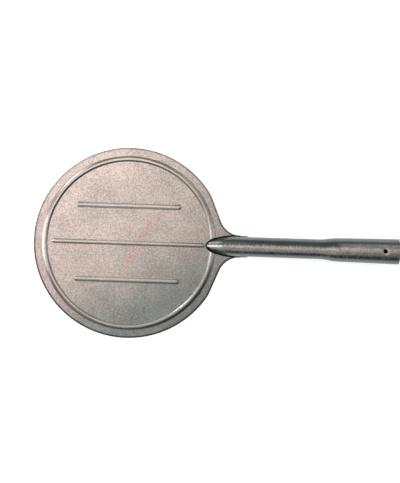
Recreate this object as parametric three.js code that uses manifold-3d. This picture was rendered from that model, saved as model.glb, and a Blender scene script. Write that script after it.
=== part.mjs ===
import * as THREE from 'three';
import { mergeVertices } from 'three/addons/utils/BufferGeometryUtils.js';
import Module from 'manifold-3d';

// Pizza peel head: a round pressed steel blade with a rolled socket for a wooden pole.
// Millimetres. X runs along the handle to the socket mouth, Y across, Z up.
// The blade lies on z = 0 and the origin is under the middle of the whole length.
// Inside the head group x is measured from the centre of the disc.

// both sheets
const overallLength = 570;
const sheetThickness = 1.5;
const seatGap = 0.3;                // clearance between pieces that touch

// blade
const discRadius = 150;
const neckAngle = 31 * Math.PI / 180;       // where the neck leaves the disc
const neckFilletRadius = 35;
const neckFilletX = 176.5;
const neckFlankAngle = 20 * Math.PI / 180;  // lean of the straight neck flank
const tongueHalfWidth = 17;
const tongueEnd = 192;
const tongueCorner = 8;
const neckBlendAngle = 0.035;               // turn over which the disc's edge bends into the neck flank
const neckBlendLength = 5;                  // and the length of flank that takes

// rim bead: inner foot, inner shoulder, crest, outer shoulder, outer foot
const beadFootIn = 128;
const beadShoulderIn = 130.6;
const beadCrest = 132;
const beadShoulderOut = 133.8;
const beadFootOut = 137.7;
const beadHeight = 1.8;
const beadShoulderInShare = 0.8;    // height of the inner shoulder, as a share of the bead's
const beadShoulderOutShare = 0.85;

// straight ribs: their two ends, side offset and half width at the foot
const ribHeight = 1.2;
const sideRib = { from: -83.5, to: 81, offset: 58.4, halfWidth: 4.2 };
const middleRib = { from: -121.3, to: 119.6, offset: 0, halfWidth: 3.7 };

// socket
const pipeRadius = 15.4;
const noseTip = 123;
const noseEnd = 165;
const noseFullness = 1.29;          // 1 is an ellipse, more is more pointed
const noseTipRise = 1;              // height of the ridge above the seat at the tip
const noseRamp = 30 * Math.PI / 180;
const shoulderRise = 12 * Math.PI / 180;
const pipeRise = 6 * Math.PI / 180;
const shoulderX = 151;
const shoulderTop = 18.3;
const pipeStart = 195;
const ridgeRounding = 1.5;          // over the corners between nose, shoulder and pipe
const flareStart = 302;
const flareEnd = 332;
const flareRadius = 18.3;
const mouthRadius = 19.5;
const legsEnd = 172;                // the section starts to close under itself here
const seamHalfGap = 0.5;
const tiltEnd = 215;                // from here on the sections stand square to the pipe

// nail hole
const holeRadius = 3.5;
const holeFromMouth = 22;
const drillLength = 12;

// welds
const weldWidth = 2.2;
const weldHeight = 1.8;
const weldEnd = 176;
const neckWeldHalf = 10;
const tackCount = 4;
const tackSize = [5.5, 2, 0.7];     // half length, half width, half height
const firstTack = 240;
const lastTack = 400;

const wasm = await Module();
wasm.setup();

const seat = sheetThickness + seatGap;
const weldClearance = weldWidth + 2 * seatGap;      // from the nose's wall to the end of the bead
const mouthX = overallLength - discRadius - mouthRadius * Math.sin(pipeRise);
const steel = { color: 0xb9b4ac, roughness: 0.34, metalness: 1 };
const weldSteel = { color: 0x5c5853, roughness: 0.55, metalness: 1 };

const smoothstep = THREE.MathUtils.smoothstep;

// smooth lesser and greater of two values, rounded over about k
function softMin(p, q, k) {
  return (p + q - Math.hypot(p - q, k)) / 2;
}

function softMax(p, q, k) {
  return (p + q + Math.hypot(p - q, k)) / 2;
}

// ---- solids ----

function toSolid(geometry) {
  const bare = geometry.clone();
  bare.deleteAttribute('normal');
  bare.deleteAttribute('uv');
  const merged = mergeVertices(bare, 1e-4);
  const mesh = new wasm.Mesh({
    numProp: 3,
    vertProperties: new Float32Array(merged.attributes.position.array),
    triVerts: new Uint32Array(merged.index.array),
  });
  mesh.merge();
  return new wasm.Manifold(mesh);
}

function toGeometry(solid) {
  const mesh = solid.getMesh();
  const geometry = new THREE.BufferGeometry();
  geometry.setAttribute('position', new THREE.BufferAttribute(mesh.vertProperties, 3));
  geometry.setIndex(new THREE.BufferAttribute(mesh.triVerts, 1));
  return geometry;
}

function piece(name, geometry, finish) {
  const mesh = new THREE.Mesh(geometry, new THREE.MeshStandardMaterial(finish));
  mesh.name = name;
  return mesh;
}

// closed body through a row of loops with the same number of points each;
// a cap pairs point i with the point that lies opposite it in the loop
function loftLoops(loops) {
  const count = loops[0].length;
  const positions = loops.flat().flatMap((point) => point.toArray());
  const faces = [];
  for (let row = 0; row + 1 < loops.length; row++) {
    for (let i = 0; i < count; i++) {
      const next = (i + 1) % count;
      const here = row * count;
      const ahead = here + count;
      faces.push(here + i, ahead + next, ahead + i);
      faces.push(here + i, here + next, ahead + next);
    }
  }
  const last = (loops.length - 1) * count;
  for (let i = 0; i + 1 < count / 2; i++) {
    const across = count - 1 - i;
    faces.push(i, across, i + 1);
    faces.push(i + 1, across, across - 1);
    faces.push(last + i, last + i + 1, last + across);
    faces.push(last + i + 1, last + across - 1, last + across);
  }
  const geometry = new THREE.BufferGeometry();
  geometry.setAttribute('position', new THREE.Float32BufferAttribute(positions, 3));
  geometry.setIndex(faces);
  return geometry;
}

// ---- plan paths ----

// the nose's foot, from the pipe's one side round the tip to its other side
function nosePath() {
  const steps = 40;
  const path = [new THREE.Vector2(weldEnd, pipeRadius)];
  for (let i = 0; i <= steps; i++) {
    const angle = Math.PI * (0.5 - i / steps);
    const x = noseEnd - (noseEnd - noseTip) * Math.max(0, Math.cos(angle)) ** noseFullness;
    path.push(new THREE.Vector2(x, pipeRadius * Math.sin(angle)));
  }
  path.push(new THREE.Vector2(weldEnd, -pipeRadius));
  return path;
}

// the path moved sideways, to the right of its direction
function offsetPath(path, distance) {
  return path.map((point, i) => {
    const before = path[Math.max(0, i - 1)];
    const after = path[Math.min(path.length - 1, i + 1)];
    const along = after.clone().sub(before).normalize();
    return new THREE.Vector2(point.x + along.y * distance, point.y - along.x * distance);
  });
}

// ---- blade ----

function bladeOutline() {
  const { PI, sin, cos } = Math;
  const cornerX = tongueEnd - tongueCorner;
  const cornerY = tongueHalfWidth - tongueCorner;
  const filletY = tongueHalfWidth + neckFilletRadius;
  const leaveX = discRadius * cos(neckAngle);
  const leaveY = discRadius * sin(neckAngle);
  const flankX = leaveX + neckBlendLength * sin(neckFlankAngle);
  const flankY = leaveY - neckBlendLength * cos(neckFlankAngle);
  const joinAngle = neckAngle + neckBlendAngle;
  const outline = new THREE.Shape();
  outline.moveTo(tongueEnd, -cornerY);
  outline.lineTo(tongueEnd, cornerY);
  outline.absarc(cornerX, cornerY, tongueCorner, 0, PI / 2, false);
  outline.lineTo(neckFilletX, tongueHalfWidth);
  outline.absarc(neckFilletX, filletY, neckFilletRadius, -PI / 2, neckFlankAngle - PI, true);
  outline.lineTo(flankX, flankY);
  outline.quadraticCurveTo(leaveX, leaveY, discRadius * cos(joinAngle), discRadius * sin(joinAngle));
  outline.absarc(0, 0, discRadius, joinAngle, PI / 2, false);
  outline.absarc(0, 0, discRadius, PI / 2, PI, false);
  outline.absarc(0, 0, discRadius, PI, 1.5 * PI, false);
  outline.absarc(0, 0, discRadius, 1.5 * PI, 2 * PI - joinAngle, false);
  outline.quadraticCurveTo(leaveX, -leaveY, flankX, -flankY);
  outline.absarc(neckFilletX, -filletY, neckFilletRadius, PI - neckFlankAngle, PI / 2, true);
  outline.lineTo(cornerX, -tongueHalfWidth);
  outline.absarc(cornerX, -cornerY, tongueCorner, -PI / 2, 0, false);
  return outline;
}

function rimBead() {
  const top = sheetThickness;
  const foot = top / 2;
  const corners = [
    [beadFootIn, foot],
    [beadFootOut, foot],
    [beadFootOut, top],
    [beadShoulderOut, top + beadShoulderOutShare * beadHeight],
    [beadCrest, top + beadHeight],
    [beadShoulderIn, top + beadShoulderInShare * beadHeight],
    [beadFootIn, top],
    [beadFootIn, foot],
  ];
  const profile = corners.map(([radius, height]) => new THREE.Vector2(radius, height));
  const ring = new THREE.LatheGeometry(profile, 120);
  ring.rotateX(Math.PI / 2);
  return ring;
}

// the bead stops at the weld round the nose: a block with the nose's plan, grown by a clearance
function beadBreak(clearance) {
  const path = offsetPath(nosePath(), clearance);
  const depth = 4 * beadHeight;
  const block = new THREE.ExtrudeGeometry(new THREE.Shape(path), { depth, bevelEnabled: false });
  block.translate(0, 0, -depth / 2);
  return block;
}

// a straight rib with round ends and sloping sides: a low cone pulled out along X
function ribBody(rib) {
  const sides = 24;
  const foot = sheetThickness / 2;
  const height = foot + ribHeight;
  const topHalfWidth = rib.halfWidth / 2;
  const footHalfWidth = rib.halfWidth * (1 + foot / (2 * ribHeight));
  const body = new THREE.CylinderGeometry(
    topHalfWidth, footHalfWidth, height, sides, 1, false, Math.PI / sides);
  body.rotateX(Math.PI / 2);
  const place = body.attributes.position;
  for (let i = 0; i < place.count; i++) {
    const side = Math.sign(place.getX(i));
    const end = side < 0 ? rib.from + rib.halfWidth : rib.to - rib.halfWidth;
    place.setX(i, side === 0 ? (rib.from + rib.to) / 2 : place.getX(i) + end);
  }
  body.translate(0, rib.offset, foot + height / 2);
  return body;
}

// pressing raises a shape on top and leaves the same shape hollow underneath
function press(sheet, raised, hollow) {
  return sheet.add(raised).subtract(hollow);
}

function lowered(geometry) {
  return toSolid(geometry.clone().translate(0, 0, -sheetThickness));
}

function makeBlade() {
  const plate = new THREE.ExtrudeGeometry(bladeOutline(), {
    depth: sheetThickness,
    bevelEnabled: false,
    curveSegments: 16,
  });
  let sheet = toSolid(plate);
  const bead = rimBead();
  sheet = press(
    sheet,
    toSolid(bead).subtract(toSolid(beadBreak(weldClearance))),
    lowered(bead).subtract(toSolid(beadBreak(weldClearance + sheetThickness))),
  );
  const ribs = [sideRib, middleRib, { ...sideRib, offset: -sideRib.offset }];
  for (const rib of ribs) {
    const body = ribBody(rib);
    sheet = press(sheet, toSolid(body), lowered(body));
  }
  return piece('blade', toGeometry(sheet), steel);
}

// ---- socket ----

function noseHalfWidth(x) {
  const lean = Math.min(1, Math.max(0, (noseEnd - x) / (noseEnd - noseTip)));
  const cosine = lean ** (1 / noseFullness);
  return pipeRadius * Math.sqrt(1 - cosine * cosine);
}

// plan half width: nose, straight pipe, short flare, then a slight taper out to the mouth
function halfWidth(x) {
  if (x < noseEnd) {
    return noseHalfWidth(x);
  }
  const flare = (flareRadius - pipeRadius) * smoothstep(x, flareStart, flareEnd);
  const taper = (mouthRadius - flareRadius) * Math.max(0, (x - flareEnd) / (mouthX - flareEnd));
  return pipeRadius + flare + taper;
}

// height of the ridge of a pipe without its flare: steep nose, shoulder, straight pipe
function ridgeHeight(x) {
  const nose = seat + noseTipRise + (x - noseTip) * Math.tan(noseRamp);
  const shoulder = shoulderTop + (x - shoulderX) * Math.tan(shoulderRise);
  const pipeTop = shoulderTop + (pipeStart - shoulderX) * Math.tan(shoulderRise);
  const pipe = pipeTop + (x - pipeStart) * Math.tan(pipeRise);
  return softMin(nose, softMin(shoulder, pipe, ridgeRounding), ridgeRounding);
}

// the section at x: centre height, half heights above and below it, and how far it is
// open like a tunnel with straight legs (1) or closed like a pipe (0)
function socketSection(x) {
  const wide = halfWidth(x);
  const ridge = ridgeHeight(x);
  const centre = softMax(seat + noseTipRise / 2, ridge - pipeRadius, 1);
  const above = ridge - centre + Math.max(0, wide - pipeRadius);
  const below = softMin(centre - seat, Math.max(wide, pipeRadius), ridgeRounding);
  const legs = 1 - smoothstep(x, legsEnd, pipeStart);
  const tilt = pipeRise * smoothstep(x, legsEnd, tiltEnd);
  return { x, wide, centre, above, below, legs, tilt };
}

function sectionPoint(section, angle, inset) {
  const { wide, centre, above, below, legs, tilt } = section;
  const out = wide - inset;
  const side = Math.sin(angle);
  const lower = Math.cos(angle) < 0;
  const across = lower ? side * (1 - legs) + Math.sign(side) * legs : side;
  const reach = lower ? below - inset * (1 - legs) : above - inset;
  const up = reach * Math.cos(angle);
  return new THREE.Vector3(section.x - up * Math.sin(tilt), out * across, centre + up * Math.cos(tilt));
}

// one station: round the outside from foot to foot, then back round the inside
function socketLoop(x) {
  const steps = 32;
  const section = socketSection(x);
  const wall = Math.min(sheetThickness, section.wide / 2, section.above / 2);
  const end = Math.PI - seamHalfGap / Math.max(section.wide, 5);
  const outer = [];
  const inner = [];
  for (let i = 0; i <= steps; i++) {
    const angle = end - 2 * end * i / steps;
    outer.push(sectionPoint(section, angle, 0));
    inner.unshift(sectionPoint(section, angle, wall));
  }
  return [...outer, ...inner];
}

function socketStations() {
  const stations = [];
  const noseSteps = 12;
  for (let i = 0; i < noseSteps; i++) {
    const angle = THREE.MathUtils.lerp(0.12, Math.PI / 2, i / noseSteps);
    stations.push(noseEnd - (noseEnd - noseTip) * Math.cos(angle) ** noseFullness);
  }
  const spans = [[noseEnd, legsEnd, 1], [legsEnd, pipeStart, 5], [pipeStart, flareStart, 6],
    [flareStart, flareEnd, 6], [flareEnd, mouthX, 3]];
  for (const [from, to, steps] of spans) {
    for (let i = 0; i < steps; i++) {
      stations.push(THREE.MathUtils.lerp(from, to, i / steps));
    }
  }
  stations.push(mouthX);
  return stations;
}

function nailHole() {
  const x = mouthX - holeFromMouth * Math.cos(pipeRise);
  const section = socketSection(x);
  const drill = new THREE.CylinderGeometry(holeRadius, holeRadius, drillLength, 24);
  drill.rotateX(Math.PI / 2);
  drill.translate(0, 0, section.above);
  drill.rotateY(-pipeRise);
  drill.translate(x, 0, section.centre);
  return drill;
}

function makeSocket() {
  const shell = toSolid(loftLoops(socketStations().map(socketLoop)));
  return piece('socket', toGeometry(shell.subtract(toSolid(nailHole()))), steel);
}

// ---- welds ----

// quarter round bead laid along a plan path, on the right-hand side of its direction
function weldBead(path, width, height, floor) {
  const corners = [[0, 0], [0, 1], [0.45, 0.85], [0.85, 0.45], [1, 0], [0.5, 0]];
  const rows = corners.map(([out, up]) => {
    const line = offsetPath(path, seatGap + out * width);
    return line.map((point) => new THREE.Vector3(point.x, point.y, floor + up * height));
  });
  return loftLoops(path.map((_, i) => rows.map((row) => row[i])));
}

function makeNoseWeld() {
  return piece('nose_weld', weldBead(nosePath(), weldWidth, weldHeight, seat), weldSteel);
}

function makeNeckWeld() {
  const path = [];
  const steps = 8;
  for (let i = 0; i <= steps; i++) {
    const y = THREE.MathUtils.lerp(-neckWeldHalf, neckWeldHalf, i / steps);
    path.push(new THREE.Vector2(tongueEnd, y));
  }
  return piece('neck_weld', weldBead(path, weldWidth, sheetThickness, 0), weldSteel);
}

function makeTack(index) {
  const [halfLength, halfWide, halfHeight] = tackSize;
  const x = THREE.MathUtils.lerp(firstTack, lastTack, index / (tackCount - 1));
  const section = socketSection(x);
  const tack = new THREE.SphereGeometry(1, 12, 8);
  tack.rotateX(Math.PI / 2);
  tack.scale(halfLength, halfWide, halfHeight);
  tack.translate(0, 0, -section.below - 2 * seatGap - halfHeight);
  tack.rotateY(-section.tilt);
  tack.translate(x, 0, section.centre);
  return piece(`seam_tack_${index + 1}`, toGeometry(toSolid(tack)), weldSteel);
}

// ---- the whole head ----

const head = new THREE.Group();
head.position.x = discRadius - overallLength / 2;
head.add(makeBlade(), makeSocket(), makeNoseWeld(), makeNeckWeld());
for (let index = 0; index < tackCount; index++) {
  head.add(makeTack(index));
}

const peel = new THREE.Group();
peel.add(head);

export default peel;
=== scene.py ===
import math
from bisect import bisect_right
import bpy
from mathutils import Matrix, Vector
from mathutils.geometry import delaunay_2d_cdt


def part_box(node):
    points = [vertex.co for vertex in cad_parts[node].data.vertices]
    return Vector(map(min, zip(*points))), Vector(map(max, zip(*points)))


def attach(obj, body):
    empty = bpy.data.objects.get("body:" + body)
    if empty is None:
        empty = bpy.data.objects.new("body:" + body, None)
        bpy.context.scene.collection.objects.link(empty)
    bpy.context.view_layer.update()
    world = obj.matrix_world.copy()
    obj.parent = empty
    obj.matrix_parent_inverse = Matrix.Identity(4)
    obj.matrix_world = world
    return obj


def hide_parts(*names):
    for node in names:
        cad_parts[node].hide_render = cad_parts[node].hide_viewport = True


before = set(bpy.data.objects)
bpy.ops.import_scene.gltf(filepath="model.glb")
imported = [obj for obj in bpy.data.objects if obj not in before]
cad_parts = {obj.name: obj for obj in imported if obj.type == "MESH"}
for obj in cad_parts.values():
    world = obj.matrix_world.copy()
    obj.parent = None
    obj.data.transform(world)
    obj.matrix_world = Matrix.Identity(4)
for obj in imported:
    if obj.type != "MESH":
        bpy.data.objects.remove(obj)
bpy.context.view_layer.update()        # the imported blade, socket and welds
mm = 0.001
print("frame loaded:", sorted(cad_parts))

bladeLow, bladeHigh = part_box("blade")
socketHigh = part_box("socket")[1]
discRadius = (bladeHigh.y - bladeLow.y) / 2 / mm
discX = bladeLow.x / mm + discRadius        # centre of the disc, mm from the frame's origin


def smoothStep(value, low, high):
    t = min(1, max(0, (value - low) / (high - low)))
    return t * t * (3 - 2 * t)


def mix(a, b, t):
    return a + (b - a) * t


def softMin(p, q, k):
    return (p + q - math.hypot(p - q, k)) / 2


def softMax(p, q, k):
    return (p + q + math.hypot(p - q, k)) / 2


# points are mm from the disc centre; the mesh is metres in the frame
def meshObject(name, points, faces):
    mesh = bpy.data.meshes.new(name)
    mesh.from_pydata([((x + discX) * mm, y * mm, z * mm) for x, y, z in points], [], faces)
    mesh.validate()
    obj = bpy.data.objects.new(name, mesh)
    bpy.context.scene.collection.objects.link(obj)
    return obj


def shadeSmooth(mesh, sharpAngle):
    mesh.shade_smooth()
    mesh.set_sharp_from_angle(angle=math.radians(sharpAngle))


# adds a node, sets its properties, then links or fills its inputs by name or number
def addNode(tree, kind, inputs=None, **properties):
    node = tree.nodes.new(kind)
    for key, value in properties.items():
        setattr(node, key, value)
    for key, value in (inputs or {}).items():
        if isinstance(value, bpy.types.NodeSocket):
            tree.links.new(value, node.inputs[key])
        else:
            node.inputs[key].default_value = value
    return node


def calc(tree, operation, *values, clamp=False):
    inputs = dict(enumerate(values))
    return addNode(tree, "ShaderNodeMath", inputs, operation=operation, use_clamp=clamp).outputs[0]


def remap(tree, value, fromMin, fromMax, toMin, toMax, smooth=False):
    kind = "SMOOTHSTEP" if smooth else "LINEAR"
    sockets = {"Value": value, "From Min": fromMin, "From Max": fromMax, "To Min": toMin, "To Max": toMax}
    return addNode(tree, "ShaderNodeMapRange", sockets, interpolation_type=kind).outputs["Result"]


steelLook = {
    "pale": (0.76, 0.71, 0.68, 1),
    "deep": (0.48, 0.46, 0.445, 1),
    "roughLow": 0.29,
    "roughHigh": 0.39,
    "cloudLow": 0.1,         # cloud values that give deep and pale
    "cloudHigh": 0.9,
    "mottleSize": 470,       # features per metre
    "mottle": 0.75,          # how far the mottling goes from deep to pale
    "mottleLow": 0.32,       # noise values where it starts and where it is full
    "mottleHigh": 0.68,
    "patchSize": 14,
    "streak": (30, 30, 30),  # features per metre along each axis
    "streakShare": 0.15,
    "bump": 0.25,
    "bumpDepth": 0.2,        # mm
}


def noiseTexture(tree, vector, scale, detail=3.0, roughness=0.5):
    inputs = {"Vector": vector, "Scale": scale, "Detail": detail, "Roughness": roughness}
    return addNode(tree, "ShaderNodeTexNoise", inputs).outputs["Fac"]


def stretchedPlace(tree, place, scale):
    return addNode(tree, "ShaderNodeMapping", {"Vector": place, "Scale": scale}).outputs["Vector"]


def newMaterial(name):
    material = bpy.data.materials.new(name)
    material.use_nodes = True
    tree = material.node_tree
    shader = next(n for n in tree.nodes if n.type == "BSDF_PRINCIPLED")
    place = addNode(tree, "ShaderNodeTexCoord").outputs["Object"]
    return material, tree, shader, place


def mixColour(tree, factor, first, second, blend="MIX"):
    node = addNode(tree, "ShaderNodeMix", data_type="RGBA", blend_type=blend)
    for socket, value in ((node.inputs[0], factor), (node.inputs[6], first), (node.inputs[7], second)):
        if isinstance(value, bpy.types.NodeSocket):
            tree.links.new(value, socket)
        else:
            socket.default_value = value
    return node.outputs[2]


def addBump(tree, shader, height, look):
    inputs = {"Height": height, "Strength": look["bump"], "Distance": look["bumpDepth"] * mm}
    bump = addNode(tree, "ShaderNodeBump", inputs)
    tree.links.new(bump.outputs["Normal"], shader.inputs["Normal"])


# satin steel: cloudy tint and fine mottling, with faint streaks drawn out along the look's stretch
def steelBase(tree, shader, place, look):
    patches = noiseTexture(tree, place, look["patchSize"], 4, 0.6)
    streaks = noiseTexture(tree, stretchedPlace(tree, place, look["streak"]), 1.0, 4, 0.65)
    mottle = noiseTexture(tree, place, look["mottleSize"], 3, 0.7)
    share = look["streakShare"]
    clouds = calc(tree, "MULTIPLY_ADD", calc(tree, "SUBTRACT", streaks, 0.5), share * 2, patches)
    speck = remap(tree, mottle, look["mottleLow"], look["mottleHigh"], -look["mottle"], look["mottle"])
    cloudy = calc(tree, "ADD", clouds, speck)
    paleness = remap(tree, cloudy, look["cloudLow"], look["cloudHigh"], 0, 1)
    colour = mixColour(tree, paleness, look["deep"], look["pale"])
    rough = remap(tree, cloudy, look["cloudLow"], look["cloudHigh"], look["roughHigh"], look["roughLow"])
    relief = calc(tree, "MULTIPLY_ADD", streaks, share * 4, calc(tree, "MULTIPLY", mottle, 0.5))
    addBump(tree, shader, relief, look)
    shader.inputs["Metallic"].default_value = 1
    return colour, rough, streaks


def setFinish(tree, shader, colour, rough):
    tree.links.new(colour, shader.inputs["Base Color"])
    tree.links.new(rough, shader.inputs["Roughness"])


def attributeValue(tree, name):
    return addNode(tree, "ShaderNodeAttribute", attribute_name=name).outputs["Fac"]


bladeLook = dict(
    steelLook,
    shadeTint=(0.57, 0.68, 0.69, 1),      # painted shade: a cool, darker tint multiplied in on the lower right, where less light falls
    shadeFrom=-0.04,                      # where the tint starts and where it is full, metres across the disc
    shadeFull=-0.165,
    shadeSlant=-0.45,                     # how far its border leans
    shadeDrift=-0.06,                     # and wanders, metres
    pinkSheen=(1.16, 0.80, 0.78, 1),         # painted reflection: a pink tint multiplied in along one faint slanting mark
    sheenShare=0.8,
    sheenAlong=(0.49, 0.87),             # direction of the mark
    sheenMiddle=(16, 14),                # its middle, along and across that direction, mm
    sheenReach=(40, 72),                 # full as far as the first, gone at the second, mm
    sheenSpread=(1, 8),                  # the same across the mark
    sheenPatch=60,                       # patches in it, per metre
    sheenFloor=(0.7, 1.1),               # heights between which it fades out towards the underside, mm
    crest=(0.80, 0.77, 0.73, 1),         # worn tops of the bead and the ribs
    crestShare=0.55,
    crestFrom=0.4,                       # pressed heights where the wear starts and is full, mm
    crestFull=1.2,
    edge=(0.05, 0.048, 0.046, 1),        # sheared edge: dark steel, with painted shade added on its lower side
    edgeShadeShare=(0.25, 0.97),              # darkness at the two places below; the change between them is painted shade
    edgeShadePlace=(90, -20),                 # mm across the disc
    edgeRough=0.2,
)


# painted pink reflection: slanting mark across the middle of the top side, from 0 to 1
def sheenMask(tree, place, x, axes, look):
    slantX, slantY = look["sheenAlong"]
    middleAlong, middleAcross = look["sheenMiddle"]
    along = calc(tree, "MULTIPLY_ADD", x, slantX, calc(tree, "MULTIPLY", axes[1], slantY))
    across = calc(tree, "MULTIPLY_ADD", x, slantY, calc(tree, "MULTIPLY", axes[1], -slantX))
    aside = calc(tree, "ABSOLUTE", calc(tree, "SUBTRACT", across, middleAcross * mm))
    beyond = calc(tree, "ABSOLUTE", calc(tree, "SUBTRACT", along, middleAlong * mm))
    full, gone = look["sheenSpread"]
    band = remap(tree, aside, gone * mm, full * mm, 0, 1, smooth=True)
    full, gone = look["sheenReach"]
    reach = remap(tree, beyond, gone * mm, full * mm, 0, 1, smooth=True)
    patchy = remap(tree, noiseTexture(tree, place, look["sheenPatch"], 3, 0.6), 0.35, 0.6, 0.2, 1)
    gone, full = look["sheenFloor"]
    onTop = remap(tree, axes[2], gone * mm, full * mm, 0, 1)
    return calc(tree, "MULTIPLY", calc(tree, "MULTIPLY", band, reach), calc(tree, "MULTIPLY", patchy, onTop))


# steel of the blade, with painted shade on the lower right, a faint painted pink reflection, worn crests,
# and dark sheared edges with painted shade on their lower side
def bladeMaterial(name, look):
    material, tree, shader, place = newMaterial(name)
    colour, rough, _ = steelBase(tree, shader, place, look)
    axes = addNode(tree, "ShaderNodeSeparateXYZ", {0: place}).outputs
    x = calc(tree, "SUBTRACT", axes[0], discX * mm)
    # painted shade: cooler and darker towards the lower right, where less light falls
    slant = calc(tree, "MULTIPLY_ADD", x, look["shadeSlant"], axes[1])
    drift = noiseTexture(tree, place, 11, 3, 0.6)
    shadeLine = calc(tree, "MULTIPLY_ADD", drift, look["shadeDrift"], slant)
    lowerShade = remap(tree, shadeLine, look["shadeFrom"], look["shadeFull"], 0, 1, smooth=True)
    colour = mixColour(tree, lowerShade, colour, look["shadeTint"], "MULTIPLY")
    # painted reflection of something pink, laid on as a faint slanting mark
    pinkSheen = calc(tree, "MULTIPLY", sheenMask(tree, place, x, axes, look), look["sheenShare"])
    colour = mixColour(tree, pinkSheen, colour, look["pinkSheen"], "MULTIPLY")
    pressed = attributeValue(tree, "pressHeight")
    crest = remap(tree, pressed, look["crestFrom"] * mm, look["crestFull"] * mm, 0, 1, smooth=True)
    colour = mixColour(tree, calc(tree, "MULTIPLY", crest, look["crestShare"]), colour, look["crest"])
    edge = attributeValue(tree, "edgeScale")
    # dark sheared edge, made darker towards the lower side by painted shade
    lighter, darkest = look["edgeShadePlace"]
    edgeShade = remap(tree, axes[1], lighter * mm, darkest * mm, *look["edgeShadeShare"])
    colour = mixColour(tree, calc(tree, "MULTIPLY", edge, edgeShade), colour, look["edge"])
    setFinish(tree, shader, colour, calc(tree, "MULTIPLY_ADD", edge, look["edgeRough"], rough))
    return material


socketLook = dict(
    steelLook,
    pale=(0.76, 0.735, 0.72, 1),
    deep=(0.47, 0.47, 0.46, 1),
    mottle=0.6,
    patchSize=40,
    streak=(330, 60, 60),                # drawn out round the pipe by the rolling
    streakShare=1.05,
    bump=0.5,
    nose=(0.95, 0.93, 0.91, 1),          # painted highlight along the nose's ridge
    glintFrom=158,                        # mm from the disc's centre, as the mouth's bounds below are
    glintFull=146,
    glintStrip=(0.25, 0.55),              # full and gone, from 0 on the crown to 1 at the side
    glintShare=0.9,
    scale=(0.135, 0.175, 0.17, 1),       # partly mill scale, partly painted shade on the round sides
    sideShadeFrom=0.15,                      # starts and is full here, measured like the strip
    sideShadeFull=0.5,
    sideShadeShare=0.9,
    sideShadeUneven=1.1,
    mouthLightFrom=318,                         # painted highlight: less of the dark sides towards the mouth, on the +Y side
    mouthLightFull=338,
    mouthLightShare=0.7,
    mouthLightSide=3,                           # mm either side of the middle where it fades in
    mouthLightShoulder=(0.62, 0.78),            # full and gone, measured like the strip
    # dark mill scale inside the pipe, kept near black by painted shade
    inside=(0.022, 0.02, 0.018, 1),
    insideRough=0.3,
)


# steel of the socket: darker on the sides and underneath, partly mill scale left where polishing and hands
# do not reach and partly painted shade; with a painted highlight along the nose's ridge and painted shade
# inside the pipe
def socketMaterial(name, look):
    material, tree, shader, place = newMaterial(name)
    colour, rough, streaks = steelBase(tree, shader, place, look)
    side = attributeValue(tree, "sideTurn")
    axes = addNode(tree, "ShaderNodeSeparateXYZ", {0: place}).outputs
    # painted highlight: a near-white strip along the nose's ridge
    glintFrom, glintFull = discX + look["glintFrom"], discX + look["glintFull"]
    nose = remap(tree, axes[0], glintFrom * mm, glintFull * mm, 0, 1, smooth=True)
    full, gone = look["glintStrip"]
    ridge = remap(tree, side, gone, full, 0, look["glintShare"], smooth=True)
    colour = mixColour(tree, calc(tree, "MULTIPLY", nose, ridge), colour, look["nose"])
    # painted shade, partly mill scale: darker the further round from the crown, on the sides and underneath
    uneven = calc(tree, "MULTIPLY_ADD", calc(tree, "SUBTRACT", streaks, 0.5), look["sideShadeUneven"], side)
    scale = remap(tree, uneven, look["sideShadeFrom"], look["sideShadeFull"], 0, look["sideShadeShare"], smooth=True)
    # painted highlight: the side shade lifts on the +Y side towards the mouth
    mouthLightFrom, mouthLightFull = discX + look["mouthLightFrom"], discX + look["mouthLightFull"]
    mouth = remap(tree, axes[0], mouthLightFrom * mm, mouthLightFull * mm, 0, look["mouthLightShare"], smooth=True)
    away = look["mouthLightSide"] * mm
    leftSide = remap(tree, axes[1], -away, away, 0, 1, smooth=True)
    full, gone = look["mouthLightShoulder"]
    shoulder = remap(tree, side, gone, full, 0, 1)
    mouthLit = calc(tree, "MULTIPLY", calc(tree, "MULTIPLY", mouth, leftSide), shoulder)
    scale = calc(tree, "MULTIPLY", scale, calc(tree, "SUBTRACT", 1, mouthLit))
    colour = mixColour(tree, scale, colour, look["scale"])
    # inside the pipe: dark mill scale, kept near black by painted shade
    inside = calc(tree, "GREATER_THAN", side, 1.5)
    colour = mixColour(tree, inside, colour, look["inside"])
    setFinish(tree, shader, colour, calc(tree, "MULTIPLY_ADD", inside, look["insideRough"], rough))
    return material


weldLook = {
    "deep": (0.012, 0.011, 0.010, 1),
    "pale": (0.06, 0.055, 0.05, 1),
    "roughLow": 0.45,
    "roughHigh": 0.75,
    "metallic": 0.85,
    "blotchSize": 260,       # features per metre
    "gritSize": 1500,
    "bump": 0.5,
    "bumpDepth": 0.15,       # mm
}


# dark weld metal with scale and a few bright spots, kept near black as painted shade of the crevice round
# the nose
def weldAndCreviceShade(name, look):
    material, tree, shader, place = newMaterial(name)
    blotches = noiseTexture(tree, place, look["blotchSize"], 4, 0.65)
    grit = noiseTexture(tree, place, look["gritSize"], 3, 0.6)
    # near-black weld colour: partly dark weld metal, partly painted crevice shadow
    colour = mixColour(tree, remap(tree, blotches, 0.35, 0.7, 0, 1), look["deep"], look["pale"])
    rough = remap(tree, blotches, 0.3, 0.7, look["roughHigh"], look["roughLow"])
    addBump(tree, shader, grit, look)
    shader.inputs["Metallic"].default_value = look["metallic"]
    setFinish(tree, shader, colour, rough)
    return material


bladeSteel = bladeMaterial("bladeSteel", bladeLook)
socketSteel = socketMaterial("socketSteel", socketLook)
weldFinish = weldAndCreviceShade("weldAndCreviceShade", weldLook)
print("materials made")


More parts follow.
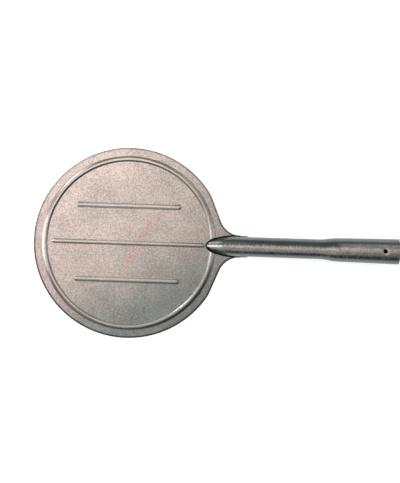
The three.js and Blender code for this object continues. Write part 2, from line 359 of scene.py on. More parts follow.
bladeSize = {
    "sheet": 1.5,
    "neckAngle": math.radians(31),
    "neckBlend": 0.035,
    "filletRadius": 35,
    "filletX": 176.5,
    "flankAngle": math.radians(20),
    "tongueHalf": 17,
    "tongueEnd": 192,
    "tongueCorner": 8,
    "edgeRound": 3.2,        # how far in the sheared edge starts to roll over
    "edgeDrop": 0.95,        # and how far down it rolls
    "edgeUnder": 0.3,        # rounding of the lower corner
    "blendLength": 5,        # run of the neck's flank that rounds into the disc
    "tongueStep": 1.5,       # spacing of the outline's points
    "cornerStep": 1.2,
    "flankStep": 1.8,
    "discStep": 2,
    "gridCoarse": 4,         # cells of the grid, fine near the ribs' ends and along the ribs
    "gridEnds": 0.6,
    "gridAcross": 0.5,
    "endsReach": 3.5,
    "acrossReach": 5,
    "gapIn": 124.6,          # the mesh changes from a grid to rings between these radii
    "gapOut": 126.6,
    "ringSteps": 27,
    "ringMargin": 0.4,       # past the bead's outer foot
}

pressSize = {                # named inputs of the pressing tree, in mm
    "Bead foot in": 127.9,
    "Bead crest in": 131.2,
    "Bead crest out": 132.6,
    "Bead foot out": 138.0,
    "Bead height": 1.8,
    "Bead stop": 8.2,        # half the break at the bead's inner foot, opening out at the slope below
    "Bead stop slope": 0.44,
    "Rib height": 1.35,
    "Rib crown": 0.16,
    "Side rib from": -79.3,
    "Side rib to": 76.8,
    "Side rib offset": 58.4,
    "Side rib half width": 4.9,
    "Middle rib from": -117.6,
    "Middle rib to": 115.9,
    "Middle rib half width": 4.3,
    "Wave height": 0.22,
    "Wave size": 9.0,        # waves per metre
    "Wave from": 126,        # radii where the wave starts and where it is full
    "Wave full": 90,
}


def arcPoints(centreX, centreY, radius, start, end, spacing):
    count = max(2, round(abs(end - start) * radius / spacing))
    angles = [mix(start, end, i / count) for i in range(count + 1)]
    return [(centreX + radius * math.cos(a), centreY + radius * math.sin(a)) for a in angles]


def linePoints(start, end, spacing):
    count = max(1, round(math.dist(start, end) / spacing))
    return [(mix(start[0], end[0], i / count), mix(start[1], end[1], i / count)) for i in range(count + 1)]


# one half of the outline, from the tongue's end round to the far side of the disc, then its mirror image
def sheetOutline(size):
    radius = discRadius
    corner = size["tongueCorner"]
    half = size["tongueHalf"]
    end = size["tongueEnd"]
    leave = (radius * math.cos(size["neckAngle"]), radius * math.sin(size["neckAngle"]))
    run = size["blendLength"]
    flank = (leave[0] + run * math.sin(size["flankAngle"]), leave[1] - run * math.cos(size["flankAngle"]))
    joinAngle = size["neckAngle"] + size["neckBlend"]
    join = (radius * math.cos(joinAngle), radius * math.sin(joinAngle))
    fillet = arcPoints(size["filletX"], half + size["filletRadius"], size["filletRadius"],
                       -math.pi / 2, size["flankAngle"] - math.pi, size["tongueStep"])
    blend = []
    blendSteps = 6
    for i in range(blendSteps + 1):
        t = i / blendSteps
        blend.append(tuple((1 - t) ** 2 * a + 2 * t * (1 - t) * b + t * t * c
                           for a, b, c in zip(flank, leave, join)))
    side = linePoints((end, 0), (end, half - corner), size["tongueStep"])
    side += arcPoints(end - corner, half - corner, corner, 0, math.pi / 2, size["cornerStep"])[1:]
    side += linePoints((end - corner, half), (size["filletX"], half), size["tongueStep"])[1:]
    side += fillet[1:]
    side += linePoints(fillet[-1], flank, size["flankStep"])[1:]
    side += blend[1:]
    side += arcPoints(0, 0, radius, joinAngle, math.pi / 2, size["discStep"])[1:]
    side += arcPoints(0, 0, radius, math.pi / 2, math.pi, size["discStep"])[1:]
    return side + [(x, -y) for x, y in reversed(side[1:-1])]


def outlineNormals(outline):
    normals = []
    for i in range(len(outline)):
        before = outline[i - 1]
        after = outline[(i + 1) % len(outline)]
        along = Vector((after[0] - before[0], after[1] - before[1])).normalized()
        normals.append((along.y, -along.x))
    return normals


# grid lines: fine over the given places, coarse between them
def gridLines(low, high, fineSpots, reach, fine, coarse):
    growth = 0.3                         # of the spacing, per mm away from them
    lines = [low]
    while lines[-1] < high:
        near = min(max(0, abs(lines[-1] - spot) - reach) for spot in fineSpots)
        lines.append(lines[-1] + min(coarse, fine + near * growth))
    return lines


# square cells inside the radius; returns the edges left ragged round them and the test for a used cell
def addGrid(points, faces, xs, ys, radius):
    index = {}
    uses = {}

    def inside(i, j):
        return 0 <= i < len(xs) and 0 <= j < len(ys) and math.hypot(xs[i], ys[j]) < radius

    def cellUsed(i, j):
        return all(inside(i + a, j + b) for a in (0, 1) for b in (0, 1))

    def gridPoint(i, j):
        if (i, j) not in index:
            index[(i, j)] = len(points)
            points.append((xs[i], ys[j]))
        return index[(i, j)]

    for i in range(len(xs) - 1):
        for j in range(len(ys) - 1):
            if cellUsed(i, j):
                face = (gridPoint(i, j), gridPoint(i + 1, j), gridPoint(i + 1, j + 1), gridPoint(i, j + 1))
                faces.append(face)
                for k in range(4):
                    edge = tuple(sorted((face[k], face[(k + 1) % 4])))
                    uses[edge] = uses.get(edge, 0) + 1
    return [edge for edge, count in uses.items() if count == 1], cellUsed


# joins two closed rings of points with faces
def joinRings(faces, inner, outer):
    count = len(inner)
    for k in range(count):
        following = (k + 1) % count
        faces.append((inner[k], outer[k], outer[following], inner[following]))


# rings from the gap to where the edge starts to roll over, close together under the bead
def addRings(points, faces, outline, normals, size, press):
    steps = size["ringSteps"]
    rings = []
    for step in range(steps + 1):
        radius = mix(size["gapOut"], press["Bead foot out"] + size["ringMargin"], step / steps)
        rings.append(range(len(points), len(points) + len(outline)))
        for x, y in outline:
            scale = radius / math.hypot(x, y)
            points.append((x * scale, y * scale))
    last = [points[k] for k in rings[-1]]
    for share in (0.2, 0.45, 0.7, 0.88, 1):
        rings.append(range(len(points), len(points) + len(outline)))
        for (x, y), (nx, ny), (startX, startY) in zip(outline, normals, last):
            endX = x - nx * size["edgeRound"]
            endY = y - ny * size["edgeRound"]
            points.append((mix(startX, endX, share), mix(startY, endY, share)))
    for inner, outer in zip(rings, rings[1:]):
        joinRings(faces, inner, outer)
    return list(rings[0]), list(rings[-1])


# triangles between the grid's ragged edge and the first ring
def fillGap(points, faces, ragged, ring, isGrid):
    loop = sorted({p for edge in ragged for p in edge}) + ring
    local = {p: k for k, p in enumerate(loop)}
    edges = [(local[a], local[b]) for a, b in ragged]
    edges += [(local[a], local[b]) for a, b in zip(ring, ring[1:] + ring[:1])]
    made = delaunay_2d_cdt([Vector(points[p]) for p in loop], edges, [], 0, 1e-5)
    source = {k: loop[origins[0]] for k, origins in enumerate(made[3]) if origins}
    for triangle in made[2]:
        corners = tuple(source[k] for k in triangle)
        middleX = sum(points[c][0] for c in corners) / 3
        middleY = sum(points[c][1] for c in corners) / 3
        if not isGrid(middleX, middleY):
            faces.append(corners)


# one flat face of the sheet: a fine grid inside, rings outside, and triangles in the gap between them
def flatFace(outline, normals, size, press):
    ends = [press["Side rib from"] - 2, press["Side rib to"] + 2,
            press["Middle rib from"] - 2, press["Middle rib to"] + 2]
    offset = press["Side rib offset"]
    gapIn = size["gapIn"]
    coarse = size["gridCoarse"]
    xs = gridLines(-gapIn, gapIn, ends, size["endsReach"], size["gridEnds"], coarse)
    ys = gridLines(-gapIn, gapIn, [-offset, 0, offset], size["acrossReach"], size["gridAcross"], coarse)
    points = []
    faces = []
    ragged, cellUsed = addGrid(points, faces, xs, ys, gapIn)
    ring, border = addRings(points, faces, outline, normals, size, press)

    def isGrid(x, y):
        return cellUsed(bisect_right(xs, x) - 1, bisect_right(ys, y) - 1)

    fillGap(points, faces, ragged, ring, isGrid)
    return points, faces, border


# the edge's section: (reach outwards, height, how dark), from the top face round to the bottom face
def edgeSection(size):
    soft, drop, under = size["edgeRound"], size["edgeDrop"], size["edgeUnder"]
    upperSteps, lowerSteps = 5, 4
    section = []
    for step in range(1, upperSteps + 1):
        angle = math.pi / 2 * (1 - step / upperSteps)
        height = size["sheet"] - drop * (1 - math.sin(angle))
        section.append((soft * (math.cos(angle) - 1), height, min(1, step / 2)))
    for step in range(lowerSteps + 1):
        angle = math.pi / 2 * step / lowerSteps
        section.append((under * (math.cos(angle) - 1), under * (1 - math.sin(angle)), 1 - step / lowerSteps))
    return section


# closed flat plate with rounded edges, before pressing
def flatSheet(size, press):
    outline = sheetOutline(size)
    normals = outlineNormals(outline)
    flat, faces, border = flatFace(outline, normals, size, press)
    points = [(x, y, size["sheet"]) for x, y in flat] + [(x, y, 0) for x, y in flat]
    shift = len(flat)
    faces += [tuple(shift + k for k in reversed(face)) for face in faces]
    marks = [0] * len(points)
    rows = [border]
    for reach, height, dark in edgeSection(size):
        rows.append(range(len(points), len(points) + len(outline)))
        points += [(x + nx * reach, y + ny * reach, height) for (x, y), (nx, ny) in zip(outline, normals)]
        marks += [dark] * len(outline)
    rows.append([shift + k for k in border])
    for upper, lower in zip(rows, rows[1:]):
        joinRings(faces, upper, lower)
    return points, faces, marks


# bead: up over the inner flank, down over the outer flank, with a break at the nose
def beadShape(tree, given, x, y, radius):
    rise = remap(tree, radius, given["Bead foot in"], given["Bead crest in"], 0, 1, smooth=True)
    fall = remap(tree, radius, given["Bead crest out"], given["Bead foot out"], 1, 0, smooth=True)
    past = calc(tree, "SUBTRACT", x, given["Bead foot in"])
    stop = calc(tree, "ADD", given["Bead stop"], calc(tree, "MULTIPLY", past, given["Bead stop slope"]))
    aside = remap(tree, calc(tree, "ABSOLUTE", y), stop, calc(tree, "ADD", stop, 1), 0, 1, smooth=True)
    away = calc(tree, "MAXIMUM", aside, calc(tree, "LESS_THAN", x, 0))
    bead = calc(tree, "MULTIPLY", calc(tree, "MULTIPLY", rise, fall), away)
    return calc(tree, "MULTIPLY", bead, given["Bead height"])


# one rib, from 0 to 1, by distance to its middle line
def ribShape(tree, given, name, x, across):
    before = calc(tree, "SUBTRACT", given[name + " from"], x)
    after = calc(tree, "SUBTRACT", x, given[name + " to"])
    beyond = calc(tree, "MAXIMUM", calc(tree, "MAXIMUM", before, after), 0)
    acrossSquared = calc(tree, "MULTIPLY", across, across)
    gap = calc(tree, "SQRT", calc(tree, "MULTIPLY_ADD", beyond, beyond, acrossSquared))
    foot = given[name + " half width"]
    crown = calc(tree, "MULTIPLY", foot, given["Rib crown"])
    return remap(tree, gap, foot, crown, 0, 1, smooth=True)


# slight wave of the sheet, none at the rim
def waveShape(tree, given, place, radius):
    noise = {"Vector": place, "Scale": given["Wave size"], "Detail": 1.5}
    cloud = addNode(tree, "ShaderNodeTexNoise", noise).outputs["Fac"]
    inward = remap(tree, radius, given["Wave from"], given["Wave full"], 0, 1, smooth=True)
    return calc(tree, "MULTIPLY", calc(tree, "MULTIPLY", cloud, inward), given["Wave height"])


# empty node tree with a geometry input and output, the named inputs and one material
def newTree(name, floats, integers, material):
    tree = bpy.data.node_groups.new(name, "GeometryNodeTree")
    tree.interface.new_socket("Geometry", in_out="INPUT", socket_type="NodeSocketGeometry")
    for socket in floats:
        tree.interface.new_socket(socket, in_out="INPUT", socket_type="NodeSocketFloat")
    for socket in integers:
        tree.interface.new_socket(socket, in_out="INPUT", socket_type="NodeSocketInt")
    tree.interface.new_socket(material, in_out="INPUT", socket_type="NodeSocketMaterial")
    tree.interface.new_socket("Geometry", in_out="OUTPUT", socket_type="NodeSocketGeometry")
    return tree, addNode(tree, "NodeGroupInput").outputs


# closes a node tree: one real mesh with one material
def finishTree(tree, geometry, material):
    real = addNode(tree, "GeometryNodeRealizeInstances", {"Geometry": geometry}).outputs[0]
    finished = addNode(tree, "GeometryNodeSetMaterial", {"Geometry": real, "Material": material}).outputs[0]
    addNode(tree, "NodeGroupOutput", {0: finished})


# node tree that presses the bead and the ribs into a flat sheet and gives it a slight wave
def pressingTree(press):
    tree, given = newTree("pressSheet", press, (), "Steel")
    place = addNode(tree, "GeometryNodeInputPosition").outputs[0]
    scaled = addNode(tree, "ShaderNodeVectorMath", {0: place, "Scale": 1 / mm}, operation="SCALE").outputs[0]
    axes = addNode(tree, "ShaderNodeSeparateXYZ", {0: scaled}).outputs
    x = calc(tree, "SUBTRACT", axes[0], discX)
    y = axes[1]
    radius = calc(tree, "SQRT", calc(tree, "MULTIPLY_ADD", x, x, calc(tree, "MULTIPLY", y, y)))
    fromSide = calc(tree, "SUBTRACT", calc(tree, "ABSOLUTE", y), given["Side rib offset"])
    ribs = calc(tree, "ADD", ribShape(tree, given, "Side rib", x, fromSide),
                ribShape(tree, given, "Middle rib", x, y))
    bead = beadShape(tree, given, x, y, radius)
    pressed = calc(tree, "ADD", bead, calc(tree, "MULTIPLY", ribs, given["Rib height"]))
    wave = waveShape(tree, given, place, radius)
    lift = calc(tree, "MULTIPLY", calc(tree, "ADD", pressed, wave), mm)
    offset = addNode(tree, "ShaderNodeCombineXYZ", {"Z": lift}).outputs[0]
    height = calc(tree, "MULTIPLY", pressed, mm)
    stored = {"Geometry": given["Geometry"], "Name": "pressHeight", "Value": height}
    marked = addNode(tree, "GeometryNodeStoreNamedAttribute", stored, data_type="FLOAT", domain="POINT")
    moved = addNode(tree, "GeometryNodeSetPosition", {"Geometry": marked.outputs[0], "Offset": offset})
    finishTree(tree, moved.outputs[0], given["Steel"])
    return tree


# fills a modifier's inputs by name, through each socket's identifier
def fillInputs(modifier, values):
    for item in modifier.node_group.interface.items_tree:
        if item.item_type == "SOCKET" and item.in_out == "INPUT" and item.name in values:
            modifier[item.identifier] = values[item.name]


# evaluates an object's node tree into a plain mesh and drops the modifier
def bakeNodes(obj, tree, values):
    modifier = obj.modifiers.new(tree.name, "NODES")
    modifier.node_group = tree
    fillInputs(modifier, values)
    obj.update_tag()
    depsgraph = bpy.context.evaluated_depsgraph_get()
    mesh = bpy.data.meshes.new_from_object(obj.evaluated_get(depsgraph), depsgraph=depsgraph)
    obj.modifiers.clear()
    obj.data = mesh
    mesh.name = obj.name
    return obj


def makeBlade():
    points, faces, marks = flatSheet(bladeSize, pressSize)
    blade = meshObject("bladeSheet", points, faces)
    blade.data.attributes.new("edgeScale", "FLOAT", "POINT").data.foreach_set("value", marks)
    bakeNodes(blade, pressingTree(pressSize), {**pressSize, "Steel": bladeSteel})
    shadeSmooth(blade.data, 60)
    return blade


blade = makeBlade()
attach(blade, "root")
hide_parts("blade")
print("blade made:", len(blade.data.polygons), "faces")


socketSize = {
    "sheet": 1.5,
    "seat": 1.5,             # height of the blade's upper face
    "pipeRadius": 15.4,
    "noseTip": 123,
    "noseEnd": 165,
    "noseFullness": 1.29,
    "noseRamp": math.radians(30),
    "noseLift": 1.3,         # ridge above the seat at the nose's tip
    "floorLift": 0.5,        # least height of the section's centre above the seat
    "floorBlend": 1,
    "blend": 1.5,            # softness where two lines of the profile meet
    "shoulderRise": math.radians(12),
    "pipeRise": math.radians(6),
    "shoulderX": 151,
    "shoulderTop": 18.3,
    "pipeStart": 195,
    "tiltEnd": 215,          # from here on the sections stand square to the pipe
    "flareStart": 297,
    "flareEnd": 326,
    "flareRadius": 18.3,
    "mouthRadius": 19.5,
    "legsEnd": 172,
    "seamHalfGap": 0.3,
    "seamNarrow": 5,         # the seam closes up where the nose is narrower than this
    "holeRadius": 3.5,
    "holeFromMouth": 22,
    "holeZone": 9,           # rows of the mesh are closest within this distance of it
    "dimpleDepth": 0.7,
    "dimpleWidth": 2.4,
    "edgeRound": 0.4,
    "crownShift": 0.22,      # turn from the crown to the middle of the nose's painted highlight strip; it moves the painted side shade too
}
mouthX = socketHigh.x / mm - discX - socketSize["mouthRadius"] * math.sin(socketSize["pipeRise"])


def halfWidth(x, size=socketSize):
    radius = size["pipeRadius"]
    if x < size["noseEnd"]:
        lean = min(1, max(0, (size["noseEnd"] - x) / (size["noseEnd"] - size["noseTip"])))
        cosine = lean ** (1 / size["noseFullness"])
        return radius * math.sqrt(1 - cosine * cosine)
    flare = (size["flareRadius"] - radius) * smoothStep(x, size["flareStart"], size["flareEnd"])
    along = max(0, (x - size["flareEnd"]) / (mouthX - size["flareEnd"]))
    return radius + flare + (size["mouthRadius"] - size["flareRadius"]) * along


def ridgeHeight(x, size=socketSize):
    nose = size["seat"] + size["noseLift"] + (x - size["noseTip"]) * math.tan(size["noseRamp"])
    shoulder = size["shoulderTop"] + (x - size["shoulderX"]) * math.tan(size["shoulderRise"])
    pipeTop = size["shoulderTop"] + (size["pipeStart"] - size["shoulderX"]) * math.tan(size["shoulderRise"])
    pipe = pipeTop + (x - size["pipeStart"]) * math.tan(size["pipeRise"])
    return softMin(nose, softMin(shoulder, pipe, size["blend"]), size["blend"])


# section of the pipe at x: half width, height of its centre, reach above and below it, how straight its
# lower legs hang (1 on the blade, 0 on the round pipe), and how far it leans
def socketSection(x, size=socketSize):
    wide = halfWidth(x)
    ridge = ridgeHeight(x)
    centre = softMax(size["seat"] + size["floorLift"], ridge - size["pipeRadius"], size["floorBlend"])
    return {
        "x": x,
        "wide": wide,
        "centre": centre,
        "above": ridge - centre + max(0, wide - size["pipeRadius"]),
        "below": softMin(centre - size["seat"], max(wide, size["pipeRadius"]), size["blend"]),
        "legs": 1 - smoothStep(x, size["legsEnd"], size["pipeStart"]),
        "tilt": size["pipeRise"] * smoothStep(x, size["legsEnd"], size["tiltEnd"]),
    }


def sectionPoint(section, angle, inset):
    out = section["wide"] - inset
    side = math.sin(angle)
    legs = section["legs"]
    if math.cos(angle) < 0:
        across = side * (1 - legs) + math.copysign(legs, side)
        reach = section["below"] - inset * (1 - legs)
    else:
        across = side
        reach = section["above"] - inset
    up = reach * math.cos(angle)
    tilt = section["tilt"]
    return (section["x"] - up * math.sin(tilt), out * across, section["centre"] + up * math.cos(tilt))


# places of the mesh's rows along the socket, closer at the nose and round the nail hole
def socketStations(size):
    stations = []
    noseSteps = 44
    for i in range(noseSteps):
        angle = mix(0.03, math.pi / 2, i / noseSteps)
        lean = math.cos(angle) ** size["noseFullness"]
        stations.append(size["noseEnd"] - (size["noseEnd"] - size["noseTip"]) * lean)
    holeX = mouthX - size["holeFromMouth"]
    beforeHole, afterHole = holeX - size["holeZone"], holeX + size["holeZone"]
    end = mouthX - size["edgeRound"]
    spans = [(size["noseEnd"], size["pipeStart"], 24), (size["pipeStart"], size["flareStart"], 50),
             (size["flareStart"], size["flareEnd"], 22), (size["flareEnd"], beforeHole, 22),
             (beforeHole, afterHole, 30), (afterHole, end, 10)]
    for start, stop, steps in spans:
        stations += [mix(start, stop, i / steps) for i in range(steps)]
    return stations + [end]


around = 128                             # faces round the socket
holeRows, holeColumns = 6, 4             # half the cells cut out for the nail hole, along and round
holeSpread = 2.2                         # mesh lines bend out to this many hole radii


# stores how far round from the crown each point lies: 0 on the crown, 1 at the sides and below, 2 inside
def markSides(mesh, innerStart):
    values = []
    for k in range(len(mesh.vertices)):
        turn = abs((2 * (k % (around + 1)) / around - 1) * math.pi + socketSize["crownShift"])
        outside = 1 if turn > math.pi / 2 else math.sin(turn)
        values.append(2 if k >= innerStart else outside)
    mesh.attributes.new("sideTurn", "FLOAT", "POINT").data.foreach_set("value", values)


# point of the pipe's outside, or as deep below it as the inset
def surfacePoint(station, column, inset):
    section = socketSection(station)
    end = math.pi - socketSize["seamHalfGap"] / max(section["wide"], socketSize["seamNarrow"])
    return sectionPoint(section, mix(-end, end, column / around), inset)


def wallThickness(station):
    return min(socketSize["sheet"], halfWidth(station) / 2, socketSection(station)["above"] / 2)


# the mesh lines bend round the nail hole, and the metal there is punched in a little
def meshPoint(station, row, column, inset, size=socketSize):
    ring = max(abs(row) / holeRows, abs(column - around // 2) / holeColumns)
    if ring < 0.99 or ring > holeSpread:
        return surfacePoint(station, column, inset)
    holeX = mouthX - size["holeFromMouth"]
    arcStep = 2 * math.pi * halfWidth(holeX) / around
    turn = math.atan2((column - around // 2) / holeColumns, row / holeRows)
    radius = size["holeRadius"] * ring
    roundness = 1 - smoothStep(ring, 1, holeSpread)
    alongX = mix(station - holeX, radius * math.cos(turn), roundness)
    acrossY = mix((column - around // 2) * arcStep, radius * math.sin(turn), roundness)
    away = math.hypot(alongX, acrossY)
    lip = size["holeRadius"] + size["dimpleWidth"]
    dimple = size["dimpleDepth"] * (1 - smoothStep(away, size["holeRadius"], lip))
    return surfacePoint(holeX + alongX, around // 2 + acrossY / arcStep, inset + dimple)


# rows of points out along the outside, over the mouth's edge and back along the inside
def socketRows(stations, holeRow, size):
    outer = []
    inner = []
    for k, station in enumerate(stations):
        wall = wallThickness(station)
        outer.append([meshPoint(station, k - holeRow, column, 0) for column in range(around + 1)])
        inner.append([meshPoint(station, k - holeRow, column, wall) for column in range(around + 1)])
    soft = size["edgeRound"]
    sheet = size["sheet"]
    rim = []
    for forward, inset in ((0.7, 0.3 * soft), (1, soft), (1, sheet - soft), (0.7, sheet - 0.3 * soft)):
        station = mouthX + soft * (forward - 1)
        rim.append([surfacePoint(station, column, inset) for column in range(around + 1)])
    return outer, rim, inner


def inHole(row, column):
    return -holeRows <= row < holeRows and -holeColumns <= column - around // 2 < holeColumns


# faces of the outside, the mouth's edge and the inside, with the nail hole left out
def wallFaces(outer, rim, inner, holeRow):
    faces = []
    wrapped = outer + rim + inner[::-1]
    last = len(outer) - 1
    for k, (here, ahead) in enumerate(zip(wrapped, wrapped[1:])):
        row = k if k < last else len(wrapped) - 2 - k
        onWall = k < last or k >= len(outer) + len(rim)
        for column in range(around):
            if not (onWall and inHole(row - holeRow, column)):
                faces.append((here[column], ahead[column], ahead[column + 1], here[column + 1]))
    return faces


# faces along both sides of the seam, at the nose tip and at the mouth's two ends
def seamFaces(outer, rim, inner):
    faces = []
    for row in range(len(outer) - 1):
        faces.append((outer[row][0], inner[row][0], inner[row + 1][0], outer[row + 1][0]))
        faces.append((outer[row][-1], outer[row + 1][-1], inner[row + 1][-1], inner[row][-1]))
    ends = [outer[-1], *rim, inner[-1]]
    faces.append(tuple(row[0] for row in reversed(ends)))
    faces.append(tuple(row[-1] for row in ends))
    for column in range(around):
        faces.append((outer[0][column], outer[0][column + 1], inner[0][column + 1], inner[0][column]))
    return faces


def holeFaces(outer, inner, holeRow):
    low, high = holeRow - holeRows, holeRow + holeRows
    left, right = around // 2 - holeColumns, around // 2 + holeColumns
    path = [(row, left) for row in range(low, high)]
    path += [(high, column) for column in range(left, right)]
    path += [(row, right) for row in range(high, low, -1)]
    path += [(low, column) for column in range(right, left, -1)]
    return [(outer[row][column], outer[nextRow][nextColumn], inner[nextRow][nextColumn], inner[row][column])
            for (row, column), (nextRow, nextColumn) in zip(path, path[1:] + path[:1])]


def makeSocket(size):
    stations = socketStations(size)
    holeX = mouthX - size["holeFromMouth"]
    holeRow = min(range(len(stations)), key=lambda k: abs(stations[k] - holeX))
    places = socketRows(stations, holeRow, size)
    points = [point for rows in places for row in rows for point in row]
    numbers = []                         # the same rows, as point numbers
    first = 0
    for rows in places:
        starts = [first + k * (around + 1) for k in range(len(rows))]
        numbers.append([range(start, start + around + 1) for start in starts])
        first += len(rows) * (around + 1)
    outer, rim, inner = numbers
    faces = wallFaces(outer, rim, inner, holeRow) + seamFaces(outer, rim, inner)
    faces += holeFaces(outer, inner, holeRow)
    socket = meshObject("socketPipe", points, faces)
    socket.data.materials.append(socketSteel)
    markSides(socket.data, inner[0][0])
    shadeSmooth(socket.data, 40)
    return socket


socket = makeSocket(socketSize)
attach(socket, "root")
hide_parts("socket")
print("socket made:", len(socket.data.polygons), "faces")


# named inputs of the weld tree, in mm
weldSize = {"Bead radius": 1.2, "Ripple size": 1.42, "Spacing": 1.25, "Squash": 0.85, "Seed": 4}
neckWeldSize = dict(weldSize, **{"Bead radius": 0.7, "Ripple size": 0.85})
tackSize = dict(weldSize, Seed=9)

weldPlace = {                # mm
    "noseOut": 0.9,          # from the wall of the socket
    "noseHeight": 1.8,
    "noseLegs": 175,         # where the run round the nose ends on both sides
    "neckX": 192.3,
    "neckAcross": (-9, -3, 3, 9),
    "neckHeight": 0.95,
    "tackHalf": 3.6,
    "tackSink": 0.1,
}


# node tree that lays overlapping ripples of weld metal along a line
def weldTree():
    tree, given = newTree("weldRun", ("Bead radius", "Ripple size", "Spacing", "Squash"), ("Seed",), "Metal")
    spacing = calc(tree, "MULTIPLY", given["Spacing"], mm)
    beadRadius = calc(tree, "MULTIPLY", given["Bead radius"], mm)
    rippleRadius = calc(tree, "MULTIPLY", given["Ripple size"], mm)
    path = addNode(tree, "GeometryNodeMeshToCurve", {0: given["Geometry"]}).outputs[0]
    even = addNode(tree, "GeometryNodeResampleCurve",
                   {"Curve": path, "Length": spacing}, mode="LENGTH").outputs[0]
    profile = addNode(tree, "GeometryNodeCurvePrimitiveCircle",
                      {"Resolution": 10, "Radius": beadRadius}).outputs[0]
    core = addNode(tree, "GeometryNodeCurveToMesh",
                   {"Curve": even, "Profile Curve": profile, "Fill Caps": True}).outputs[0]
    ripple = addNode(tree, "GeometryNodeMeshUVSphere",
                     {"Segments": 12, "Rings": 8, "Radius": rippleRadius}).outputs[0]
    tangent = addNode(tree, "GeometryNodeInputTangent").outputs[0]
    turn = addNode(tree, "FunctionNodeAlignRotationToVector", {"Vector": tangent}, axis="X").outputs[0]
    random = addNode(tree, "FunctionNodeRandomValue", {"Min": 0.82, "Max": 1.06, "Seed": given["Seed"]},
                     data_type="FLOAT")
    amount = next(o for o in random.outputs if o.enabled)
    flat = addNode(tree, "ShaderNodeCombineXYZ", {"X": given["Squash"], "Y": amount, "Z": amount}).outputs[0]
    placed = addNode(tree, "GeometryNodeInstanceOnPoints",
                     {"Points": even, "Instance": ripple, "Rotation": turn, "Scale": flat}).outputs[0]
    joined = addNode(tree, "GeometryNodeJoinGeometry")
    tree.links.new(core, joined.inputs[0])
    tree.links.new(placed, joined.inputs[0])
    finishTree(tree, joined.outputs[0], given["Metal"])
    return tree


weldNodes = weldTree()


def weldPiece(name, lines, sizes):
    points = []
    edges = []
    for line in lines:
        first = len(points)
        points += line
        edges += [(k, k + 1) for k in range(first, len(points) - 1)]
    mesh = bpy.data.meshes.new(name)
    mesh.from_pydata([((x + discX) * mm, y * mm, z * mm) for x, y, z in points], edges, [])
    obj = bpy.data.objects.new(name, mesh)
    bpy.context.scene.collection.objects.link(obj)
    bakeNodes(obj, weldNodes, {**sizes, "Metal": weldFinish})
    shadeSmooth(obj.data, 80)
    return obj


# round the nose, half a bead outside the pipe's wall
def noseWeldLine(size, weld):
    wall = []
    steps = 60
    for i in range(steps + 1):
        angle = math.pi * (i / steps - 0.5)
        lean = max(0, math.cos(angle)) ** size["noseFullness"]
        wall.append((size["noseEnd"] - (size["noseEnd"] - size["noseTip"]) * lean,
                     size["pipeRadius"] * math.sin(angle)))
    wall = [(weld["noseLegs"], -size["pipeRadius"])] + wall + [(weld["noseLegs"], size["pipeRadius"])]
    line = []
    for k, (x, y) in enumerate(wall):
        before = wall[max(0, k - 1)]
        after = wall[min(len(wall) - 1, k + 1)]
        along = Vector((after[0] - before[0], after[1] - before[1])).normalized()
        line.append((x - along.y * weld["noseOut"], y + along.x * weld["noseOut"], weld["noseHeight"]))
    return line


noseWeld = weldPiece("noseWeld", [noseWeldLine(socketSize, weldPlace)], weldSize)
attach(noseWeld, "root")
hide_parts("nose_weld")

neckLine = [(weldPlace["neckX"], y, weldPlace["neckHeight"]) for y in weldPlace["neckAcross"]]
neckWeld = weldPiece("neckWeld", [neckLine], neckWeldSize)
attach(neckWeld, "root")
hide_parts("neck_weld")

tackNodes = ["seam_tack_1", "seam_tack_2", "seam_tack_3", "seam_tack_4"]


# along the seam, just under the pipe, where the CAD has the tack
def tackLine(node, weld):
    low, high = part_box(node)
    middle = (low.x + high.x) / 2 / mm - discX
    line = []
    for reach in (-weld["tackHalf"], 0, weld["tackHalf"]):
        section = socketSection(middle + reach)
        bottom = sectionPoint(section, math.pi * 0.999, 0)
        line.append((bottom[0], 0, bottom[2] - weld["tackSink"]))
    return line


seamTacks = weldPiece("seamTacks", [tackLine(node, weldPlace) for node in tackNodes], tackSize)
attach(seamTacks, "root")
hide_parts(*tackNodes)
print("welds made")


studio = {
    "floor": (0.93, 0.93, 0.93, 1),
    "floorGlow": 0.76,
    "floorRough": 0.8,
    "floorHalf": 9,
    "floorDrop": 0.3,        # mm below the blade, so that the two faces don't meet
    "surroundings": (0.024, 0.026, 0.026, 1),
    "backdrop": (0.86, 0.86, 0.86, 1),
    "lampAim": -0.13,        # along the peel, where every softbox points
    "cameraHeight": 1.3,
    "viewX": -22.8,
    "viewY": 5.9,
    "roll": math.radians(1.9),
    "viewTall": 0.7627,      # metres seen from top to bottom of the frame at the blade
}


def makeFloor():
    mesh = bpy.data.meshes.new("floor")
    half = studio["floorHalf"]
    corners = [(-half, -half, 0), (half, -half, 0), (half, half, 0), (-half, half, 0)]
    mesh.from_pydata(corners, [], [(0, 1, 2, 3)])
    floor = bpy.data.objects.new("floor", mesh)
    floor.location.z = -studio["floorDrop"] * mm
    bpy.context.scene.collection.objects.link(floor)
    material, _, shader, _ = newMaterial("floorPale")
    shader.inputs["Base Color"].default_value = studio["floor"]
    shader.inputs["Roughness"].default_value = studio["floorRough"]
    shader.inputs["Emission Color"].default_value = (1, 1, 1, 1)
    shader.inputs["Emission Strength"].default_value = studio["floorGlow"]
    mesh.materials.append(material)


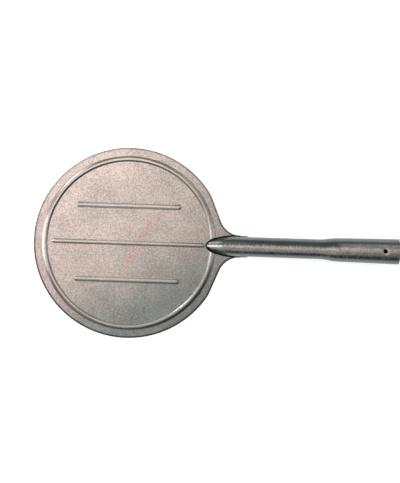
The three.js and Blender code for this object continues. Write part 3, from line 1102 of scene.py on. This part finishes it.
# softboxes: compass direction (0 is +X, 90 is +Y) and angle from straight up, in degrees,
# with distance and width in metres and power per colour in watts
softboxes = {
    "overheadLeft": (180, 18, 2.6, 1.2, (4.1, 3.35, 3.15)),
    "overheadBack": (90, 16, 2.6, 1.2, (4.9, 4.2, 3.75)),
    "overheadFill": (270, 9, 2.6, 1.2, (1.9, 1.9, 1.8)),
    "frontFill": (258, 38, 2.6, 1.2, (2.2, 2.4, 2.25)),
    "rightFill": (5, 46, 2.6, 1.2, (3.6, 3.9, 3.8)),
    "nearBack": (150, 25, 0.85, 0.40, (0.20, 0.18, 0.165)),
    "backKey": (100, 45, 0.55, 0.28, (0.17, 0.165, 0.155)),
    "wallLeft": (228, 62, 2.6, 1.2, (1.2, 1.25, 1.2)),
    "wallBack": (80, 70, 2.6, 1.2, (0.8, 0.8, 0.78)),
    "backRight": (50, 55, 0.85, 0.40, (0.25, 0.24, 0.23)),
    "leftKey": (180, 62, 0.85, 0.40, (1.4, 1.3, 1.22)),
    "lowKey": (137, 78, 0.60, 0.18, (1.1, 1.07, 1.03)),
}


def makeSoftbox(name, compass, fromTop, distance, width, power):
    light = bpy.data.lights.new(name, "AREA")
    light.shape = "DISK"
    light.size = width
    light.energy = max(power)
    light.color = [part / max(power) for part in power]
    obj = bpy.data.objects.new(name, light)
    aim = Vector((studio["lampAim"], 0, 0))
    turn, lean = math.radians(compass), math.radians(fromTop)
    away = Vector((math.sin(lean) * math.cos(turn), math.sin(lean) * math.sin(turn), math.cos(lean)))
    obj.location = aim + away * distance
    obj.rotation_euler = (-away).to_track_quat("-Z", "Y").to_euler()
    obj.visible_camera = False
    bpy.context.scene.collection.objects.link(obj)


def makeLights():
    for name, values in softboxes.items():
        makeSoftbox(name, *values)
    world = bpy.data.worlds.new("studioWorld")
    world.use_nodes = True
    tree = world.node_tree
    background = next(n for n in tree.nodes if n.type == "BACKGROUND")
    seen = addNode(tree, "ShaderNodeLightPath").outputs["Is Camera Ray"]
    shown = mixColour(tree, seen, studio["surroundings"], studio["backdrop"])
    tree.links.new(shown, background.inputs["Color"])
    bpy.context.scene.world = world


def makeCamera():
    camera = bpy.data.cameras.new("camera")
    camera.sensor_width = 36
    camera.lens = camera.sensor_width * studio["cameraHeight"] / studio["viewTall"]
    camera.clip_end = 50
    obj = bpy.data.objects.new("camera", camera)
    obj.location = (studio["viewX"] * mm, studio["viewY"] * mm, studio["cameraHeight"])
    obj.rotation_euler = (0, 0, studio["roll"])
    bpy.context.scene.collection.objects.link(obj)
    bpy.context.scene.camera = obj


makeFloor()
makeLights()
makeCamera()
bpy.context.scene.view_settings.view_transform = "Standard"
print("studio made")
